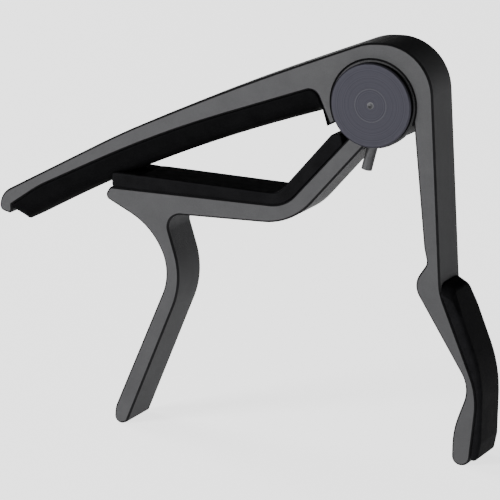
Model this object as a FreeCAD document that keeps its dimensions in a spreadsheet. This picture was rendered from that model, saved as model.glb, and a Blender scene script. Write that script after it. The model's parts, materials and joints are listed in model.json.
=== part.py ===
import FreeCAD, Part
import math
import os
import Sketcher

# Spring guitar capo.  The profile lies in the XZ plane with the pivot at the origin, X to the
# right, Z up, and the width runs along Y from the front face (-Y) to the rear face (+Y).
# Millimetres and degrees.  Each sub-part is modelled about the pivot and placed at the end.

V = FreeCAD.Vector
os.makedirs("parts", exist_ok=True)
doc = FreeCAD.newDocument("capo")
sheet = doc.addObject("Spreadsheet::Sheet", "Sizes")
cell_row = [0]


def cell(alias, value, note=""):
    """Put a plain number in the sheet under a word alias."""
    cell_row[0] += 1
    row = cell_row[0]
    sheet.set("A%d" % row, alias)
    sheet.set("B%d" % row, repr(float(value)))
    sheet.set("C%d" % row, note)
    sheet.setAlias("B%d" % row, alias)


def cells(rows):
    for row in rows:
        cell(*row)


def outline_cells(prefix, corners):
    """One row of cells for each named corner: x, z and the radius that rounds it."""
    for name, x, z, radius in corners:
        cell("%s_%s_x" % (prefix, name), x)
        cell("%s_%s_z" % (prefix, name), z)
        if radius:
            cell("%s_%s_round" % (prefix, name), radius)


cells([
    ("width", 12.7, "width of both aluminium arms, half-inch plate"),
    ("edge_break", 0.45, "chamfer along the edges of both arms"),
    ("closed_gap_angle", 0.3, "turn of the jaw that leaves the pads just apart"),
    ("stand_angle", 0.6, "turn that brings lever tip and handle heel to one level"),
    ("socket_radius", 10.6, "bore of the open socket in the upper arm"),
    ("liner_outer", 10.58, ""),
    ("liner_inner", 10.15, "0.05 running clearance to the barrel"),
    ("liner_width", 12.3, ""),
    ("barrel_radius", 10.1, "knuckle barrel of the jaw"),
    ("web_thickness", 2.0, "front web of the barrel"),
    ("chamber_radius", 8.9, "spring chamber in the barrel"),
    ("disc_radius", 9.7, "pivot discs"),
    ("disc_proud", 1.7, "height of a disc above the arms' side faces"),
    ("disc_edge", 0.3, "chamfer of a disc's rim"),
    ("dimple_radius", 0.75, "turning centre in a disc"),
    ("dimple_depth", 0.55, ""),
    ("spigot_radius", 8.85, "rear disc's spigot in the chamber"),
    ("spigot_depth", 2.0, ""),
    ("pin_radius", 3.0, ""),
    ("pin_neck_radius", 2.0, "neck that is swaged in each disc"),
    ("pin_neck_length", 0.9, ""),
    ("pin_fit", 0.02, "radial fit of the pin's neck"),
    ("sleeve_inner", 3.05, "sleeve that keeps the coil off the pin"),
    ("sleeve_outer", 6.05, ""),
    ("sleeve_length", 8.55, ""),
    ("end_gap", 0.05, "gap at the end of the sleeve and of the pin"),
    ("wire", 2.5, "spring wire"),
    ("coil_radius", 7.5, "mean radius of the coil"),
    ("coil_pitch", 2.55, ""),
    ("coil_front", 3.05, "distance of the first coil in front of mid-width"),
    ("coil_bend", 1.3, "bend radius of each spring leg"),
    ("leg_angle", 255.0, "direction of the working leg"),
    ("leg_reach", 15.85, "working leg, from the pivot"),
    ("anchor_angle", 130.0, "direction of the anchored leg"),
    ("anchor_reach", 12.3, "anchored leg, from the pivot"),
    ("whole_turns", 2.0, "whole turns of the coil before the anchored leg"),
    ("anchor_slot_radius", 12.7, "slot in the socket for the anchored leg"),
    ("anchor_slot_low", 108.0, ""),
    ("anchor_slot_high", 176.0, ""),
    ("anchor_slot_front", 1.3, "front wall of the slot, behind mid-width"),
    ("anchor_slot_width", 2.95, ""),
    ("notch_low", 109.0, "notch in the barrel wall for the anchored leg"),
    ("notch_high", 133.0, ""),
    ("window_radius", 11.4, "window in the barrel wall for the working leg"),
    ("window_low", 251.0, ""),
    ("window_high", 318.0, ""),
    ("liner_cut_low", 204.0, "open side of the liner"),
    ("liner_cut_high", 336.0, ""),
    ("pad_round", 2.0, "rounding of the string pad's lower edges"),
    ("neck_pad_round", 0.3, ""),
    ("grip_round", 0.95, "rounding of the grip's outer edges"),
])

GLUE = 0.03     # glue line between a rubber piece and its seat


def beside(corners, name, right, up, wider=0.0):
    """A corner of a seat moved by the glue line, for the rubber piece that lies on it."""
    x, z, radius = [c[1:] for c in corners if c[0] == name][0]
    return name, x + right, z + up, radius + wider


# Corners run clockwise as seen from the front.  The last number is the rounding radius.
ARM = [
    ("nose_low", -91.05, -33.2, 0.9), ("nose_front", -94.55, -32.15, 1.4),
    ("nose_top", -94.1, -28.1, 5.0), ("bar_bend", -62.15, -11.05, 196.0),
    ("bar_top", -32.6, 2.15, 600.0), ("crown", -1.9, 14.0, 14.0),
    ("shoulder", 13.65, 14.55, 11.9), ("knee", 16.6, -42.15, 12.6),
    ("calf", 25.9, -65.15, 18.1), ("heel_out", 24.0, -81.75, 2.2),
    ("heel_in", 19.65, -82.25, 2.1), ("instep_low", 19.8, -73.9, 20.0),
    ("instep_top", 23.7, -63.55, 7.5), ("finger_rest", 9.75, -40.8, 4.5),
    ("rest_top", 13.25, -35.65, 2.2), ("rest_end", 12.45, -32.0, 3.5),
    ("mouth_right", 9.15, 2.55, 0.0), ("mouth_left", -7.6, -3.95, 0.0),
    ("lip_end", -10.6, -5.55, 0.0), ("lip_root", -14.2, 2.75, 2.4),
    ("seat_mid", -53.25, -10.8, 295.5), ("seat_low", -84.15, -25.9, 29.4),
    ("seat_end", -91.2, -30.75, 0.3),
]
STRING_PAD = [
    ("nose_low", -91.0, -32.25, 0.4), beside(ARM, "seat_end", GLUE, -GLUE),
    beside(ARM, "seat_low", 0, -GLUE), beside(ARM, "seat_mid", 0, -GLUE),
    beside(ARM, "lip_root", -GLUE, -GLUE, -GLUE), beside(ARM, "lip_end", -GLUE, 0),
    ("leg_out", -11.25, -5.85, 0.0), ("heel", -12.3, -2.35, 0.0),
    ("belly", -51.7, -15.1, 370.0), ("toe", -87.6, -34.3, 0.0),
]
JAW = [
    ("nose", -67.4, -26.45, 1.3), ("seat_end", -65.75, -23.95, 0.85),
    ("seat_bend", -21.75, -25.1, 7.75), ("root_top", -5.2, -7.3, 0.0),
    ("root_inside", 0.05, -4.0, 0.0), ("root_low", -1.35, -8.85, 0.0),
    ("under_bend", -20.05, -29.4, 16.05), ("armpit", -52.0, -29.35, 3.05),
    ("lever_back", -47.25, -45.15, 18.8), ("tip_right", -62.1, -80.3, 1.05),
    ("tip_left", -65.5, -81.6, 1.7), ("tip_bend", -65.2, -77.0, 5.7),
    ("lever_front", -50.35, -43.0, 12.6), ("lever_root", -55.9, -32.45, 17.5),
]
NECK_PAD = [
    ("tip_low", -65.3, -23.92, 0.0), ("tip_top", -65.3, -22.85, 0.5),
    ("press", -60.6, -20.6, 17.5), ("corner", -23.4, -22.4, 3.5),
    ("end_top", -10.25, -7.7, 0.35), ("end_low", -7.95, -7.35, 0.35),
    ("root", -7.5, -9.71, 0.0), beside(JAW, "seat_bend", -GLUE, GLUE),
]
GRIP = [
    ("top_in", 16.5, -39.8, 0.0), ("top_out", 19.45, -41.6, 1.5),
    ("bulge", 26.9, -60.95, 32.0), ("low_out", 26.5, -76.6, 4.6),
    ("heel_out", 25.5, -81.3, 1.1), ("heel_in", 24.2, -80.6, 0.0),
    beside(ARM, "calf", GLUE, 0, GLUE), beside(ARM, "knee", GLUE, 0, GLUE),
]
for prefix, corners in (("arm", ARM), ("spad", STRING_PAD), ("jaw", JAW),
                        ("npad", NECK_PAD), ("grip", GRIP)):
    outline_cells(prefix, corners)
doc.recompute()


def size(alias):
    return float(sheet.get(alias))


def rounded(corners):
    """Where each rounding starts and ends, its centre, and a point half-way along it."""
    out = []
    count = len(corners)
    for i, (name, x, z, radius) in enumerate(corners):
        here = V(x, z, 0)
        before = V(*corners[i - 1][1:3], 0)
        after = V(*corners[(i + 1) % count][1:3], 0)
        u = (here - before).normalize()
        v = (after - here).normalize()
        side = 1.0 if u.cross(v).z > 0 else -1.0
        turn = u.getAngle(v)
        reach = radius * math.tan(turn / 2)
        start, end = here - u * reach, here + v * reach
        centre = start + V(-u.y, u.x, 0) * side * radius
        middle = here
        if radius:
            middle = centre + (here - centre).normalize() * radius
        out.append((start, end, centre, middle, side))
    return out


def new_body(label):
    body = doc.addObject("PartDesign::Body", label)
    body.Label = label
    return body


def new_sketch(body, name, plane="XZ_Plane", at=None):
    """A sketch on one of the body's planes; at is an expression for its Y position."""
    sketch = body.newObject("Sketcher::SketchObject", name)
    origin = [f for f in body.Origin.OriginFeatures if f.Role == plane][0]
    sketch.AttachmentSupport = [(origin, "")]
    sketch.MapMode = "FlatFace"
    if at:
        sketch.setExpression("AttachmentOffset.Base.z", "-(%s)" % at)
    return sketch


def bind(sketch, constraint, name, expression):
    index = sketch.addConstraint(constraint)
    sketch.renameConstraint(index, name)
    sketch.setExpression("Constraints." + name, expression)


def bound_point(sketch, geometry, position, name, x, z, value_x, value_z):
    bind(sketch, Sketcher.Constraint("DistanceX", -1, 1, geometry, position, value_x), name + "_x", x)
    bind(sketch, Sketcher.Constraint("DistanceY", -1, 1, geometry, position, value_z), name + "_z", z)


def outline(body, name, prefix, corners):
    """A closed outline of lines and tangent arcs whose corners are bound to the sheet."""
    sketch = new_sketch(body, name)
    shape = rounded(corners)
    count = len(corners)
    lines, arcs = [], {}
    for i in range(count):
        lines.append(sketch.addGeometry(
            Part.LineSegment(shape[i][1], shape[(i + 1) % count][0]), False))
    for i, (corner, x, z, radius) in enumerate(corners):
        if not radius:
            continue
        start, end, centre, middle, side = shape[i]
        first, last = (start, end) if side > 0 else (end, start)
        a0 = math.atan2(first.y - centre.y, first.x - centre.x)
        a1 = math.atan2(last.y - centre.y, last.x - centre.x)
        if a1 < a0:
            a1 += 2 * math.pi
        arcs[i] = sketch.addGeometry(
            Part.ArcOfCircle(Part.Circle(centre, V(0, 0, 1), radius), a0, a1), False)
    for i, (corner, x, z, radius) in enumerate(corners):
        alias = "Sizes.%s_%s" % (prefix, corner)
        if not radius:
            sketch.addConstraint(Sketcher.Constraint("Coincident", lines[i - 1], 2, lines[i], 1))
            bound_point(sketch, lines[i], 1, corner, alias + "_x", alias + "_z", x, z)
            continue
        point = sketch.addGeometry(Part.Point(V(x, z, 0)), True)
        starts = 1 if shape[i][4] > 0 else 2
        sketch.addConstraint([
            Sketcher.Constraint("Tangent", lines[i - 1], 2, arcs[i], starts),
            Sketcher.Constraint("Tangent", arcs[i], 3 - starts, lines[i], 1),
            Sketcher.Constraint("PointOnObject", point, 1, lines[i - 1]),
            Sketcher.Constraint("PointOnObject", point, 1, lines[i]),
        ])
        bind(sketch, Sketcher.Constraint("Radius", arcs[i], radius), corner + "_round",
             alias + "_round")
        bound_point(sketch, point, 1, corner, alias + "_x", alias + "_z", x, z)
    return sketch


def circle(body, name, radius, at=None):
    sketch = new_sketch(body, name, at=at)
    ring = sketch.addGeometry(Part.Circle(V(0, 0, 0), V(0, 0, 1), size(radius)), False)
    sketch.addConstraint(Sketcher.Constraint("Coincident", ring, 3, -1, 1))
    bind(sketch, Sketcher.Constraint("Radius", ring, size(radius)), "radius", "Sizes." + radius)
    return sketch


def sector(body, name, radius, low, high, at=None):
    """A slice of a circle about the pivot between two sheet angles."""
    sketch = new_sketch(body, name, at=at)
    a0, a1 = math.radians(size(low)), math.radians(size(high))
    reach = size(radius)
    ends = [V(math.cos(a) * reach, math.sin(a) * reach, 0) for a in (a0, a1)]
    rim = sketch.addGeometry(
        Part.ArcOfCircle(Part.Circle(V(0, 0, 0), V(0, 0, 1), reach), a0, a1), False)
    first = sketch.addGeometry(Part.LineSegment(V(0, 0, 0), ends[0]), False)
    last = sketch.addGeometry(Part.LineSegment(V(0, 0, 0), ends[1]), False)
    sketch.addConstraint([
        Sketcher.Constraint("Coincident", rim, 3, -1, 1),
        Sketcher.Constraint("Coincident", first, 1, -1, 1),
        Sketcher.Constraint("Coincident", last, 1, -1, 1),
        Sketcher.Constraint("Coincident", first, 2, rim, 1),
        Sketcher.Constraint("Coincident", last, 2, rim, 2),
    ])
    bind(sketch, Sketcher.Constraint("Radius", rim, reach), "radius", "Sizes." + radius)
    for line, alias in ((first, low), (last, high)):
        bind(sketch, Sketcher.Constraint("Angle", line, math.radians(size(alias))), alias,
             "Sizes." + alias)
    return sketch


def pad(body, name, sketch, length="Sizes.width", middle=True):
    feature = body.newObject("PartDesign::Pad", name)
    feature.Profile = sketch
    feature.setExpression("Length", length)
    feature.Midplane = middle
    return feature


def pocket(body, name, sketch, length, middle=False):
    """A cut towards +Y from the sketch, or both ways from mid-width."""
    feature = body.newObject("PartDesign::Pocket", name)
    feature.Profile = sketch
    feature.setExpression("Length", length)
    feature.Midplane = middle
    doc.recompute()
    if feature.Shape.Volume >= feature.BaseFeature.Shape.Volume - 1e-3:
        feature.Reversed = True
    return feature


def turned(body, name, corners):
    """A revolution about the Y axis; corners are (radius, y) pairs of sheet expressions."""
    sketch = new_sketch(body, name + "_section", "XY_Plane")
    values = [(sheet_value(a), sheet_value(b)) for a, b in corners]
    count = len(corners)
    lines = [sketch.addGeometry(Part.LineSegment(V(*values[i], 0), V(*values[(i + 1) % count], 0)),
                                False) for i in range(count)]
    for i in range(count):
        sketch.addConstraint(Sketcher.Constraint("Coincident", lines[i - 1], 2, lines[i], 1))
        bound_point(sketch, lines[i], 1, "corner%d" % i, corners[i][0], corners[i][1], *values[i])
    feature = body.newObject("PartDesign::Revolution", name)
    feature.Profile = sketch
    feature.ReferenceAxis = (sketch, ["V_Axis"])
    feature.Angle = 360
    return feature


def sheet_value(expression):
    return float(sheet.evalExpression(expression.replace("Sizes.", "")))


def edges_at(shape, points, level):
    """Names of the edges whose middles are at the profile points, on both side faces."""
    names = []
    for i, edge in enumerate(shape.Edges):
        middle = edge.valueAt(edge.getParameterByLength(edge.Length / 2))
        if abs(abs(middle.y) - level) > 1e-4:
            continue
        if any(math.hypot(middle.x - p.x, middle.z - p.y) < 0.02 for p in points):
            names.append("Edge%d" % (i + 1))
    return names


def run_points(corners, first=None, last=None):
    """Middles of the outline's pieces between two of its sharp corners, or of all of them."""
    shape = rounded(corners)
    names = [c[0] for c in corners]
    count = len(corners)
    start = names.index(first) if first else 0
    steps = (names.index(last) - start) % count if last else count
    points = []
    for k in range(steps):
        i = (start + k) % count
        points.append((shape[i][1] + shape[(i + 1) % count][0]) * 0.5)
        if k:
            points.append(shape[i][3])
    return points + [shape[0][3]] if not last else points


def dress(body, kind, name, base, points, alias):
    """A chamfer or a fillet along profile pieces, on both side faces."""
    doc.recompute()
    names = edges_at(base.Shape, points, size("width") / 2)
    feature = body.newObject("PartDesign::" + kind, name)
    feature.Base = (base, names)
    feature.setExpression("Size" if kind == "Chamfer" else "Radius", "Sizes." + alias)
    body.Tip = feature
    return feature


# Upper arm: string bar, open socket and handle in one plate.
upper_arm = new_body("upper_arm")
plate = pad(upper_arm, "arm_plate", outline(upper_arm, "arm_outline", "arm", ARM))
dress(upper_arm, "Chamfer", "arm_edges", plate, run_points(ARM), "edge_break")
pocket(upper_arm, "arm_socket", circle(upper_arm, "arm_socket_circle", "socket_radius"),
       "Sizes.width * 2", True)
pocket(upper_arm, "arm_anchor_slot",
       sector(upper_arm, "arm_slot_sector", "anchor_slot_radius", "anchor_slot_low",
              "anchor_slot_high", "Sizes.anchor_slot_front"), "Sizes.anchor_slot_width")

# Lower jaw: neck bar, slanted root, finger lever, and the knuckle barrel.
lower_jaw = new_body("lower_jaw")
plate = pad(lower_jaw, "jaw_plate", outline(lower_jaw, "jaw_outline", "jaw", JAW))
dress(lower_jaw, "Chamfer", "jaw_edges", plate, run_points(JAW), "edge_break")
pad(lower_jaw, "jaw_barrel", circle(lower_jaw, "jaw_barrel_circle", "barrel_radius"))
INNER_FACE = "(Sizes.web_thickness - Sizes.width / 2)"
BEHIND = "(Sizes.width - Sizes.web_thickness + 1)"
pocket(lower_jaw, "jaw_chamber", circle(lower_jaw, "jaw_chamber_circle", "chamber_radius",
                                        INNER_FACE), BEHIND)
pocket(lower_jaw, "jaw_window", sector(lower_jaw, "jaw_window_sector", "window_radius",
                                       "window_low", "window_high", INNER_FACE), BEHIND)
pocket(lower_jaw, "jaw_notch", sector(lower_jaw, "jaw_notch_sector", "socket_radius",
                                      "notch_low", "notch_high", "Sizes.anchor_slot_front"),
       "Sizes.width")
pocket(lower_jaw, "jaw_pin_hole", circle(lower_jaw, "jaw_pin_circle", "pin_radius"),
       "Sizes.width * 2", True)

# Rubber pads and grip.
string_pad = new_body("string_pad")
plate = pad(string_pad, "string_pad_plate", outline(string_pad, "string_pad_outline", "spad",
                                                    STRING_PAD))
dress(string_pad, "Fillet", "string_pad_edges", plate, run_points(STRING_PAD, "heel", "toe"),
      "pad_round")
neck_pad = new_body("neck_pad")
plate = pad(neck_pad, "neck_pad_plate", outline(neck_pad, "neck_pad_outline", "npad", NECK_PAD))
dress(neck_pad, "Fillet", "neck_pad_edges", plate, run_points(NECK_PAD, "tip_low", "root"),
      "neck_pad_round")
handle_grip = new_body("handle_grip")
plate = pad(handle_grip, "grip_plate", outline(handle_grip, "grip_outline", "grip", GRIP))
dress(handle_grip, "Fillet", "grip_edges", plate, run_points(GRIP, "top_in", "heel_in"),
      "grip_round")

# Turned pieces of the pivot.
SIDE = "Sizes.width / 2"
OUT = "(Sizes.width / 2 + Sizes.disc_proud)"
EDGE = "Sizes.disc_edge"
NECK_HOLE = "Sizes.pin_neck_radius + Sizes.pin_fit"
NECK_END = "(Sizes.width / 2 + Sizes.pin_neck_length + Sizes.end_gap)"
front_disc = new_body("pivot_disc_front")
turned(front_disc, "front_disc_turned", [
    (NECK_HOLE, "-" + SIDE), ("Sizes.disc_radius", "-" + SIDE),
    ("Sizes.disc_radius", "-%s + %s" % (OUT, EDGE)), ("Sizes.disc_radius - " + EDGE, "-" + OUT),
    ("Sizes.dimple_radius", "-" + OUT), ("0", "-%s + Sizes.dimple_depth" % OUT),
    ("0", "-" + NECK_END), (NECK_HOLE, "-" + NECK_END)])
rear_disc = new_body("pivot_disc_rear")
turned(rear_disc, "rear_disc_turned", [
    ("Sizes.pin_radius + Sizes.pin_fit", SIDE + " - Sizes.spigot_depth"),
    ("Sizes.spigot_radius", SIDE + " - Sizes.spigot_depth"), ("Sizes.spigot_radius", SIDE),
    ("Sizes.disc_radius", SIDE), ("Sizes.disc_radius", "%s - %s" % (OUT, EDGE)),
    ("Sizes.disc_radius - " + EDGE, OUT), ("Sizes.dimple_radius", OUT),
    ("0", OUT + " - Sizes.dimple_depth"), ("0", NECK_END), (NECK_HOLE, NECK_END),
    (NECK_HOLE, SIDE), ("Sizes.pin_radius + Sizes.pin_fit", SIDE)])
pin = new_body("pivot_pin")
END = "(Sizes.width / 2 + Sizes.pin_neck_length)"
turned(pin, "pin_turned", [
    ("0", "-" + END), ("Sizes.pin_neck_radius", "-" + END), ("Sizes.pin_neck_radius", "-" + SIDE),
    ("Sizes.pin_radius", "-" + SIDE), ("Sizes.pin_radius", SIDE), ("Sizes.pin_neck_radius", SIDE),
    ("Sizes.pin_neck_radius", END), ("0", END)])
sleeve = new_body("spring_sleeve")
turned(sleeve, "sleeve_turned", [
    (radius, end) for radius, end in (
        ("Sizes.sleeve_inner", INNER_FACE + " + Sizes.end_gap"),
        ("Sizes.sleeve_outer", INNER_FACE + " + Sizes.end_gap"),
        ("Sizes.sleeve_outer", INNER_FACE + " + Sizes.sleeve_length"),
        ("Sizes.sleeve_inner", INNER_FACE + " + Sizes.sleeve_length"))])
liner = new_body("socket_liner")
turned(liner, "liner_turned", [
    (radius, sign + "Sizes.liner_width / 2") for radius, sign in (
        ("Sizes.liner_inner", "-"), ("Sizes.liner_outer", "-"),
        ("Sizes.liner_outer", ""), ("Sizes.liner_inner", ""))])
pocket(liner, "liner_mouth", sector(liner, "liner_mouth_sector", "anchor_slot_radius",
                                    "liner_cut_low", "liner_cut_high"), "Sizes.width * 2", True)
pocket(liner, "liner_slot", sector(liner, "liner_slot_sector", "anchor_slot_radius",
                                   "anchor_slot_low", "anchor_slot_high",
                                   "Sizes.anchor_slot_front"), "Sizes.anchor_slot_width")


def spring_leg(centre_y, angle, reach, travel):
    """A bend and a straight leg that leave the coil outwards.

    travel is +1 where the wire runs on anticlockwise (seen from the front), else -1.
    """
    a = math.radians(angle)
    out = V(math.cos(a), 0, math.sin(a))
    along = V(-math.sin(a), 0, math.cos(a)) * travel
    wire, bend = size("wire") / 2, size("coil_bend")
    start = out * size("coil_radius") + V(0, centre_y, 0)
    hub = start + out * bend
    face = Part.Face(Part.Wire(Part.makeCircle(wire, start, along)))
    elbow = face.revolve(hub, out.cross(along), -90)
    if elbow.distToShape(Part.Vertex(hub + along * bend))[0] > wire:
        elbow = face.revolve(hub, out.cross(along), 90)
    corner = hub + along * bend
    run = reach - size("coil_radius") - bend
    return [Part.makeSphere(wire, start), elbow, Part.makeCylinder(wire, run, corner, out)]


spring_angle = size("leg_angle")
turns = size("whole_turns") + (size("leg_angle") - size("anchor_angle")) / 360
helix = Part.makeHelix(size("coil_pitch"), size("coil_pitch") * turns, size("coil_radius"))
section = Part.Wire(Part.makeCircle(size("wire") / 2, V(size("coil_radius"), 0, 0), V(0, 1, 0)))
coil = Part.Wire(helix).makePipeShell([section], True, True)
a = math.radians(spring_angle)
coil_x = V(math.cos(a), 0, math.sin(a))
coil.Placement = FreeCAD.Placement(
    V(0, -size("coil_front"), 0),
    FreeCAD.Rotation(coil_x, V(0, 1, 0).cross(coil_x), V(0, 1, 0), "ZXY"))
pieces = spring_leg(-size("coil_front"), size("leg_angle"), size("leg_reach"), 1)
pieces += spring_leg(size("coil_pitch") * turns - size("coil_front"), size("anchor_angle"),
                     size("anchor_reach"), -1)
spring_shape = coil.fuse(pieces).removeSplitter()
torsion_spring = doc.addObject("Part::Feature", "torsion_spring")
torsion_spring.Label = "torsion_spring"
torsion_spring.Shape = spring_shape.Solids[0] if len(spring_shape.Solids) == 1 else spring_shape

doc.recompute()

# Stand the capo on its lever tip and heel, with the origin under the middle of its box.
ON_ARM = [upper_arm, string_pad, handle_grip, liner]
ON_JAW = [lower_jaw, neck_pad, front_disc, rear_disc, pin, sleeve, torsion_spring]
CLOCKWISE = V(0, 1, 0)


def place(base):
    for parts, extra in ((ON_ARM, 0.0), (ON_JAW, size("closed_gap_angle"))):
        for part in parts:
            part.Placement = FreeCAD.Placement(
                base, FreeCAD.Rotation(CLOCKWISE, -size("stand_angle") - extra))


place(V(0, 0, 0))
box = FreeCAD.BoundBox()
for part in ON_ARM + ON_JAW:
    box.add(part.Shape.optimalBoundingBox(False, True))
place(V(-box.Center.x, -box.Center.y, -box.ZMin))
doc.recompute()

for item in doc.Objects:
    if "Invalid" in item.State or "Error" in item.State:
        raise RuntimeError("feature failed: " + item.Name)
for part in ON_ARM + ON_JAW:
    shape = part.Shape
    if shape.isNull() or not shape.isValid() or len(shape.Solids) != 1:
        raise RuntimeError("bad solid: " + part.Label)
    shape.exportStep("parts/%s.step" % part.Label)
    print(part.Label, round(shape.Volume, 1), [round(v, 2) for v in (
        shape.BoundBox.XMin, shape.BoundBox.YMin, shape.BoundBox.ZMin,
        shape.BoundBox.XMax, shape.BoundBox.YMax, shape.BoundBox.ZMax)])
print("pivot", part.Placement.Base)
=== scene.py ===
import json
import math

import bpy
from mathutils import Matrix, Vector
from mathutils.bvhtree import BVHTree


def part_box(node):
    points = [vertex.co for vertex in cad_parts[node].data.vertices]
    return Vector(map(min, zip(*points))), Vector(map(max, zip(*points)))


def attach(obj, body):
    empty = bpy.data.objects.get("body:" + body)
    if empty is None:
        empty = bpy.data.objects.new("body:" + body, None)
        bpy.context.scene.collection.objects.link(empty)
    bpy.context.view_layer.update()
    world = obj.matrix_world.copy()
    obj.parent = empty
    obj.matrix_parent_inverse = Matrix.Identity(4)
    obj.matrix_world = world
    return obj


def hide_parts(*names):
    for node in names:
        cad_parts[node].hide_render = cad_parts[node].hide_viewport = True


# The looks of a spring guitar capo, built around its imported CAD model.  Metres, in the row frame:
# X from the string bar's tip to the handle, Y from the front side face to the rear one, Z up.

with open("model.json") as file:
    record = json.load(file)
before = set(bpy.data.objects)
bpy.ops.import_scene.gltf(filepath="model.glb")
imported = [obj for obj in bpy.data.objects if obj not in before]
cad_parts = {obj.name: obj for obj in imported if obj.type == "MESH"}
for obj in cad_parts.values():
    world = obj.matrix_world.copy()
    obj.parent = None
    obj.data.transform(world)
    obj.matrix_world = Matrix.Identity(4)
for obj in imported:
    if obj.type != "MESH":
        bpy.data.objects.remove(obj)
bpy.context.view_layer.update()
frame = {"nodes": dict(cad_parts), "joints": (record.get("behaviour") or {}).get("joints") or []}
nodes = frame["nodes"]
pivot = Vector(frame["joints"][0]["pos_m"])

MM = 0.001
STAND_TURN = math.radians(0.6)      # the capo stands turned by this from the camera's level

# ---------------------------------------------------------------- node helpers


def material(name, color, metallic=0.0, roughness=0.5, specular=0.5):
    """A Principled material; its black tint darkens a metallic share's reflection at grazing angles."""
    mat = bpy.data.materials.new(name)
    mat.use_nodes = True
    tree = mat.node_tree
    shader = tree.nodes["Principled BSDF"]
    shader.inputs["Base Color"].default_value = (*color, 1)
    shader.inputs["Metallic"].default_value = metallic
    shader.inputs["Roughness"].default_value = roughness
    shader.inputs["Specular IOR Level"].default_value = specular
    shader.inputs["Specular Tint"].default_value = (0, 0, 0, 1)
    return mat, tree, shader


def node(tree, kind, **inputs):
    made = tree.nodes.new(kind)
    for key, value in inputs.items():
        made.inputs[key.replace("_", " ")].default_value = value
    return made


def math_node(tree, operation, *values):
    """A Math node; each value is a number or an output to link."""
    made = tree.nodes.new("ShaderNodeMath")
    made.operation = operation
    for slot, value in zip(made.inputs, values):
        if isinstance(value, (int, float)):
            slot.default_value = value
        else:
            tree.links.new(value, slot)
    return made.outputs[0]


def object_coords(tree):
    return node(tree, "ShaderNodeTexCoord").outputs["Object"]


def noise(tree, coords, scale, detail=3.0, rough=0.5):
    made = node(tree, "ShaderNodeTexNoise", Scale=scale, Detail=detail, Roughness=rough)
    tree.links.new(coords, made.inputs["Vector"])
    return made.outputs["Fac"]


def ramp(tree, value, low, high, start=0.3, end=0.7):
    """A value mapped between two colours, or between two grey levels."""
    made = tree.nodes.new("ShaderNodeValToRGB")
    made.color_ramp.elements[0].position = start
    made.color_ramp.elements[1].position = end
    for element, color in zip(made.color_ramp.elements, (low, high)):
        element.color = (*color, 1) if isinstance(color, tuple) else (color, color, color, 1)
    tree.links.new(value, made.inputs["Fac"])
    return made.outputs["Color"]


def around(color, spread):
    """A colour made darker and lighter by a share of itself."""
    return (tuple(c * (1 - spread) for c in color), tuple(min(1, c * (1 + spread)) for c in color))


def bump(tree, shader, layers):
    """Bump layers of (height, strength, distance), each on top of the one before."""
    normal = None
    for height, strength, distance in layers:
        made = node(tree, "ShaderNodeBump", Strength=strength, Distance=distance)
        tree.links.new(height, made.inputs["Height"])
        if normal:
            tree.links.new(normal, made.inputs["Normal"])
        normal = made.outputs["Normal"]
    tree.links.new(normal, shader.inputs["Normal"])


def vector_math(tree, operation, first, second=None):
    """A Vector Math node, fed by an output and, where it takes two, a fixed vector."""
    made = tree.nodes.new("ShaderNodeVectorMath")
    made.operation = operation
    tree.links.new(first, made.inputs[0])
    if second is not None:
        made.inputs[1].default_value = second
    return made


def radius_about_pivot(tree, coords):
    """Distance from the pivot's axis."""
    shifted = vector_math(tree, "SUBTRACT", coords, pivot).outputs["Vector"]
    flat = vector_math(tree, "MULTIPLY", shifted, (1, 0, 1)).outputs["Vector"]
    return vector_math(tree, "LENGTH", flat).outputs["Value"]


def mix(tree, share, first, second):
    made = tree.nodes.new("ShaderNodeMix")
    made.data_type = "RGBA"
    for slot, value in ((0, share), (6, first), (7, second)):
        tree.links.new(value, made.inputs[slot])
    return made.outputs[2]


def lean_to_side(tree):
    """How far a face looks along the pivot's axis: 1 on the plate's side faces, 0 on its profile."""
    parts = tree.nodes.new("ShaderNodeSeparateXYZ")
    tree.links.new(tree.nodes.new("ShaderNodeNewGeometry").outputs["Normal"], parts.inputs[0])
    return math_node(tree, "ABSOLUTE", parts.outputs["Y"])


def chamfer_mask(tree):
    """1 on faces that lean half-way between a side face and the profile, else 0."""
    return math_node(tree, "COMPARE", lean_to_side(tree), math.sqrt(0.5), 0.25)


def rim_mask(tree):
    """1 on faces that look away from the pivot's axis, such as a disc's rim, else 0."""
    return math_node(tree, "LESS_THAN", lean_to_side(tree), 0.3)


# ---------------------------------------------------------------- materials


def anodised_plate():
    """Bead-blasted plate: a fine even grain under a dark anodised layer, with painted shade on its
    chamfers.
    """
    color, painted_shade_edge_color = (0.0465, 0.0465, 0.048), (0.011, 0.011, 0.0115)
    mat, tree, shader = material("anodised_plate", color, 0.45, 0.45, 0.014)
    at = object_coords(tree)
    grain = noise(tree, at, 4200.0, 2.0, 0.7)
    cloud = math_node(tree, "MULTIPLY_ADD", noise(tree, at, 150.0, 6.0, 0.65), 0.5,
                      math_node(tree, "MULTIPLY", grain, 0.5))
    body = ramp(tree, cloud, *around(color, 0.14))
    # Painted shade: the chamfers get a much darker colour than the faces.
    edge = ramp(tree, noise(tree, at, 400.0), *around(painted_shade_edge_color, 0.15))
    tree.links.new(mix(tree, chamfer_mask(tree), body, edge), shader.inputs["Base Color"])
    tree.links.new(ramp(tree, grain, 0.38, 0.54), shader.inputs["Roughness"])
    bump(tree, shader, [(noise(tree, at, 900.0, 2.0), 0.15, 0.00004), (grain, 0.3, 0.00004)])
    return mat


DISC_GROOVE = 3.8 * MM      # radius of the disc's deeper ring
GROOVE_HALF = 0.12 * MM
CENTRE_MARK = 0.8 * MM      # radius of the painted highlight at the disc's centre


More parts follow.
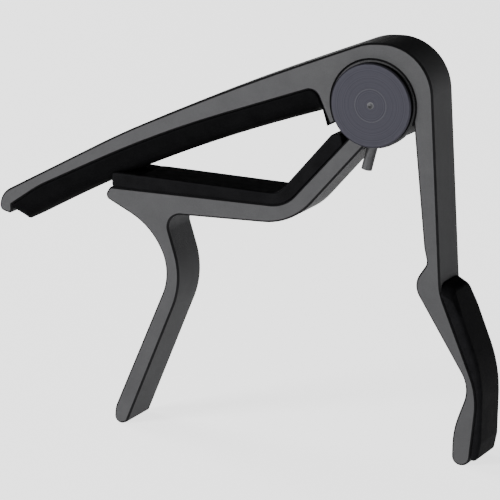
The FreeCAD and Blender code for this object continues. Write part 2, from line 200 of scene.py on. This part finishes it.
def blued_disc():
    """A turned face: fine rings about the pivot, one deeper ring and a centre mark with painted
    highlight, and a rim with painted shade.
    """
    color, painted_shade_rim_color = (0.030, 0.0295, 0.0365), (0.006, 0.006, 0.007)
    painted_highlight_color = (0.09, 0.09, 0.095)
    mat, tree, shader = material("blued_disc", color, 0.6, 0.34, 0.02)
    at = object_coords(tree)
    radius = radius_about_pivot(tree, at)
    ring_noise = node(tree, "ShaderNodeTexNoise", Scale=4200.0, Detail=4.0)
    ring_noise.noise_dimensions = "1D"
    tree.links.new(radius, ring_noise.inputs["W"])
    rings = ring_noise.outputs["Fac"]
    groove = math_node(tree, "COMPARE", radius, DISC_GROOVE, GROOVE_HALF)
    centre = math_node(tree, "LESS_THAN", radius, CENTRE_MARK)
    # Painted highlight: a lighter colour at the centre and, faintly, in the deeper ring.
    painted_highlight = math_node(tree, "MAXIMUM", centre, math_node(tree, "MULTIPLY", groove, 0.16))
    grain = noise(tree, at, 3500.0, 2.0)
    face = mix(tree, painted_highlight, ramp(tree, rings, *around(color, 0.14)),
               ramp(tree, grain, *around(painted_highlight_color, 0.15)))
    # Painted shade: the rim gets a much darker colour than the face.
    rim = ramp(tree, grain, *around(painted_shade_rim_color, 0.1))
    tree.links.new(mix(tree, rim_mask(tree), face, rim), shader.inputs["Base Color"])
    tree.links.new(ramp(tree, noise(tree, at, 120.0), 0.34, 0.46), shader.inputs["Roughness"])
    bump(tree, shader, [(rings, 0.18, 0.00002), (groove, 0.4, -0.00004), (grain, 0.08, 0.00003)])
    return mat


def rubber(name, color, roughness, grain_scale, grain_depth, specular):
    """Moulded black rubber: a soft mottle, a low wave and a fine skin grain."""
    mat, tree, shader = material(name, color, 0.3, roughness, specular)
    at = object_coords(tree)
    grain = noise(tree, at, grain_scale, 4.0, 0.6)
    mottle = noise(tree, at, 260.0, 5.0, 0.6)
    skin = math_node(tree, "MULTIPLY_ADD", mottle, 0.5, math_node(tree, "MULTIPLY", grain, 0.5))
    tree.links.new(ramp(tree, skin, *around(color, 0.4)), shader.inputs["Base Color"])
    tree.links.new(ramp(tree, mottle, roughness - 0.07, roughness + 0.07),
                   shader.inputs["Roughness"])
    bump(tree, shader, [(noise(tree, at, 320.0), 0.12, 0.0002), (grain, 0.3, grain_depth)])
    return mat


def plain_finish(name, color, metallic, roughness, specular=0.5):
    mat, tree, shader = material(name, color, metallic, roughness, specular)
    at = object_coords(tree)
    tree.links.new(ramp(tree, noise(tree, at, 300.0), *around(color, 0.15)),
                   shader.inputs["Base Color"])
    tree.links.new(ramp(tree, noise(tree, at, 700.0), roughness - 0.05, roughness + 0.05),
                   shader.inputs["Roughness"])
    bump(tree, shader, [(noise(tree, at, 2500.0), 0.15, 0.00003)])
    return mat


plate = anodised_plate()
disc = blued_disc()
pad_rubber = rubber("pad_rubber", (0.0055, 0.0055, 0.0059), 0.5, 3800.0, 0.00004, 0.006)
# Painted shade: the string cushion's rubber is a darker copy of the pad rubber, standing in for the
# shade on its rounded belly.
shaded_bar_rubber = rubber("shaded_bar_rubber", (0.003, 0.003, 0.0032), 0.5, 3800.0, 0.00004, 0.006)
grip_rubber = rubber("grip_rubber", (0.0058, 0.0058, 0.0063), 0.46, 1900.0, 0.00008, 0.004)
FINISH = {
    "upper_arm": plate, "lower_jaw": plate, "pivot_disc_front": disc, "pivot_disc_rear": disc,
    "socket_liner": plain_finish("liner_plastic", (0.006, 0.006, 0.0065), 0.0, 0.5, 0.02),
    "spring_sleeve": plain_finish("sleeve_plastic", (0.014, 0.014, 0.015), 0.0, 0.5),
    "pivot_pin": plain_finish("pin_steel", (0.5, 0.5, 0.52), 1.0, 0.3),
    "torsion_spring": plain_finish("spring_wire", (0.055, 0.055, 0.057), 0.3, 0.4, 0.1),
}
for name, mat in FINISH.items():
    mesh = nodes[name].data
    mesh.materials.clear()
    mesh.materials.append(mat)

# ---------------------------------------------------------------- rubber pieces


def half_width(name):
    low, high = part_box(name)
    return (high.y - low.y) / 2


def tree_of(obj):
    mesh = obj.data
    return BVHTree.FromPolygons([v.co for v in mesh.vertices],
                                [tuple(p.vertices) for p in mesh.polygons])


def height_at(tree, x, y, from_below):
    """Z of the first surface met along a vertical line, or None."""
    start = Vector((x, y, -1.0 if from_below else 1.0))
    hit = tree.ray_cast(start, Vector((0, 0, 1 if from_below else -1)))[0]
    return hit.z if hit else None


def applied(piece):
    """The piece with its modifiers turned into mesh."""
    graph = bpy.context.evaluated_depsgraph_get()
    final = bpy.data.meshes.new_from_object(piece.evaluated_get(graph))
    piece.modifiers.clear()
    piece.data = final
    return final


SETTLE_GAP = 0.1 * MM       # points this near to a flat of the CAD surface lie down on it
SETTLE_FACING = (0.9, 0.98)     # how squarely a point faces that flat: not at all, fully


def settle(mesh, tree):
    """Lays a mesh's flats back on the surface it came from, and leaves its rounded edges."""
    low, high = SETTLE_FACING
    moved = []
    for vertex in mesh.vertices:
        spot, facing, _, gap = tree.find_nearest(vertex.co)
        near = max(0.0, min(1.0, 2 - gap / SETTLE_GAP))
        square = max(0.0, min(1.0, (vertex.normal.dot(facing) - low) / (high - low)))
        moved.append(vertex.co.lerp(spot, near * square))
    for vertex, spot in zip(mesh.vertices, moved):
        vertex.co = spot


def moulded(name, source, body, mat, voxel, rule, smooth):
    """A rubber piece moulded from a CAD node's shape, reshaped point by point by rule."""
    source_tree = tree_of(nodes[source])
    piece = bpy.data.objects.new(name, nodes[source].data.copy())
    bpy.context.scene.collection.objects.link(piece)
    remesh = piece.modifiers.new("remesh", "REMESH")
    remesh.mode = "VOXEL"
    remesh.voxel_size = voxel
    final = applied(piece)
    for vertex in final.vertices:
        vertex.co = rule(vertex.co.copy())
    soft = piece.modifiers.new("soft", "SMOOTH")
    soft.factor = 0.5
    soft.iterations = smooth
    final = applied(piece)
    settle(final, source_tree)
    final.materials.clear()
    final.materials.append(mat)
    for polygon in final.polygons:
        polygon.use_smooth = True
    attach(piece, body)
    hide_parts(source)
    return piece


BELLY_ROUND = 3.4 * MM      # the string cushion's lower edges
BELLY_SHARE = 0.7           # the most of the cushion's height that the rounding takes
LEAF_START = -12.5 * MM     # from the pivot: beyond this the string cushion is a leaf on the lip
string_tree = tree_of(nodes["string_pad"])
string_half = half_width("string_pad")
bar_end = pivot.x + LEAF_START


def round_belly(co):
    """Rounds the string cushion's lower edges across its width."""
    over = abs(co.y) - (string_half - BELLY_ROUND)
    under = height_at(string_tree, co.x, 0, True)
    above = height_at(string_tree, co.x, 0, False)
    if over <= 0 or under is None or above is None or co.x > bar_end:
        return co
    share = min(1.0, over / BELLY_ROUND)
    depth = min(BELLY_ROUND, (above - under) * BELLY_SHARE)
    co.z = max(co.z, under + depth * (1 - math.sqrt(1 - share * share)))
    return co


string_cushion = moulded("string_cushion", "string_pad", "arm", shaded_bar_rubber,
                         0.205 * MM, round_belly, 4)

SEAT_BED = 0.04 * MM        # the cushion's back beds into the arm, so that no light shows past it
BACK_FACING = 0.7           # a point whose normal rises more than this is on the back
back = [(vertex, vertex.normal.copy()) for vertex in string_cushion.data.vertices
        if vertex.co.x < bar_end and vertex.normal.z > BACK_FACING]
for vertex, normal in back:
    vertex.co += normal * SEAT_BED

PRESS_GAP = 0.12 * MM       # left between the two cushions, measured upwards, before smoothing
THINNEST = 0.2 * MM         # a column of the neck cushion thinner than this stays as it is
FLAT_FROM, FLAT_TO = -52 * MM, -28 * MM     # from the pivot: the neck cushion's flat top
neck_tree = tree_of(nodes["neck_pad"])
cushion_tree = tree_of(string_cushion)
flat_start, flat_end = pivot.x + FLAT_FROM, pivot.x + FLAT_TO
flat_z = height_at(neck_tree, flat_start, 0, False)
flat_slope = (height_at(neck_tree, flat_end, 0, False) - flat_z) / (flat_end - flat_start)


def fill_tip(co):
    """Carries the neck cushion's flat top on to its tip, as far as the other cushion lets it."""
    if co.x > flat_start:
        return co
    seat = height_at(neck_tree, co.x, 0, True)
    top = height_at(neck_tree, co.x, 0, False)
    if seat is None or top is None or top - seat < THINNEST:
        return co
    limit = flat_z + flat_slope * (co.x - flat_start)
    hit = cushion_tree.ray_cast(Vector((co.x, co.y, seat)), Vector((0, 0, 1)))[0]
    if hit:
        limit = min(limit, max(hit.z - PRESS_GAP, top))
    co.z = seat + (co.z - seat) * (limit - seat) / (top - seat)
    return co


neck_cushion = moulded("neck_cushion", "neck_pad", "jaw", pad_rubber,
                       0.25 * MM, fill_tip, 2)

DOME_ROUND = 3.2 * MM       # the grip's upper end, across its width
DOME_FADE = 10 * MM         # how far down the dome's rounding dies away
grip_tree = tree_of(nodes["handle_grip"])
grip_half = half_width("handle_grip")
grip_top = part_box("handle_grip")[1].z


def dome_end(co):
    """Rounds the grip's upper end across its width."""
    over = abs(co.y) - (grip_half - DOME_ROUND)
    above = height_at(grip_tree, co.x, 0, False)
    if over <= 0 or above is None or above < grip_top - DOME_FADE:
        return co
    share = min(1.0, over / DOME_ROUND)
    depth = DOME_ROUND * (1 - (grip_top - above) / DOME_FADE)
    co.z = min(co.z, above - depth * (1 - math.sqrt(1 - share * share)))
    return co


grip_sleeve = moulded("grip_sleeve", "handle_grip", "arm", grip_rubber,
                      0.25 * MM, dome_end, 5)

# ---------------------------------------------------------------- stage

DISH_RADIUS = 3.2       # the stage rises gently to its rim, so that low views meet no horizon
FLAT_RADIUS = 1.6
RIM_HEIGHT = 0.3
DISH_SIDES = 96
RISE_STEPS = 12


def dish():
    """A round floor whose outer part curves up."""
    rings = [0.0, 0.4, 0.8, FLAT_RADIUS]
    rings += [FLAT_RADIUS + (DISH_RADIUS - FLAT_RADIUS) * i / RISE_STEPS
              for i in range(1, RISE_STEPS + 1)]
    points, faces = [], []
    for radius in rings:
        rise = max(0.0, radius - FLAT_RADIUS) / (DISH_RADIUS - FLAT_RADIUS)
        for k in range(DISH_SIDES):
            angle = 2 * math.pi * k / DISH_SIDES
            points.append((radius * math.cos(angle), radius * math.sin(angle),
                           RIM_HEIGHT * rise * rise))
    for i in range(len(rings) - 1):
        for k in range(DISH_SIDES):
            a, b = i * DISH_SIDES + k, i * DISH_SIDES + (k + 1) % DISH_SIDES
            faces.append((a, b, b + DISH_SIDES, a + DISH_SIDES))
    mesh = bpy.data.meshes.new("floor")
    mesh.from_pydata(points, [], faces)
    for polygon in mesh.polygons:
        polygon.use_smooth = True
    return mesh


floor = bpy.data.objects.new("floor", dish())
bpy.context.scene.collection.objects.link(floor)
floor_mat, floor_tree, floor_shader = material("floor", (0.9, 0.9, 0.9), roughness=0.9)
tint = noise(floor_tree, object_coords(floor_tree), 3.0)
floor_tree.links.new(ramp(floor_tree, tint, 0.88, 0.92), floor_shader.inputs["Base Color"])
floor_shader.inputs["Emission Color"].default_value = (1, 1, 1, 1)
floor_shader.inputs["Emission Strength"].default_value = 2.0
floor.data.materials.append(floor_mat)

world = bpy.data.worlds.new("studio")
bpy.context.scene.world = world
world.use_nodes = True
background = world.node_tree.nodes["Background"]
background.inputs["Color"].default_value = (1, 1, 1, 1)
background.inputs["Strength"].default_value = 0.08


def direction(azimuth, elevation):
    """Unit vector from the object; azimuth 0 is straight in front and 90 is to the right."""
    a, e = math.radians(azimuth), math.radians(elevation)
    return Vector((math.sin(a) * math.cos(e), -math.cos(a) * math.cos(e), math.sin(e)))


LIGHT_AIM = Vector((0, 0, 0.05))
LIGHT_DISTANCE = 1.2


def area_light(name, azimuth, elevation, size, power):
    """A rectangular soft box that looks at the middle of the capo."""
    data = bpy.data.lights.new(name, "AREA")
    data.shape = "RECTANGLE"
    data.size, data.size_y = size
    data.energy = power
    lamp = bpy.data.objects.new(name, data)
    bpy.context.scene.collection.objects.link(lamp)
    lamp.location = LIGHT_AIM + direction(azimuth, elevation) * LIGHT_DISTANCE
    lamp.rotation_euler = (-direction(azimuth, elevation)).to_track_quat("-Z", "Y").to_euler()


area_light("key", -36, 14, (0.5, 0.35), 17.5)
area_light("right", 112, 3, (0.4, 0.3), 1.0)
area_light("back", 245, 20, (0.6, 0.4), 7.0)

# ---------------------------------------------------------------- camera

# The angles follow the photograph.  A scratch script worked out the target, given from the pivot
# before the standing turn, so that the pivot falls where the photograph shows it.
AZIMUTH, ELEVATION, DISTANCE = 23.2, 12.8, 0.92
target = Vector((-30.147, -6.35, -36.284)) * MM
camera_data = bpy.data.cameras.new("camera")
camera_data.sensor_width = 36
camera_data.lens = 288
camera_data.clip_start = 0.01
camera = bpy.data.objects.new("camera", camera_data)
bpy.context.scene.collection.objects.link(camera)
toward = direction(AZIMUTH, ELEVATION)
placed = (-toward).to_track_quat("-Z", "Y").to_matrix().to_4x4()
placed.translation = target + toward * DISTANCE
camera.matrix_world = (Matrix.Translation(pivot) @ Matrix.Rotation(-STAND_TURN, 4, "Y") @ placed)
bpy.context.scene.camera = camera
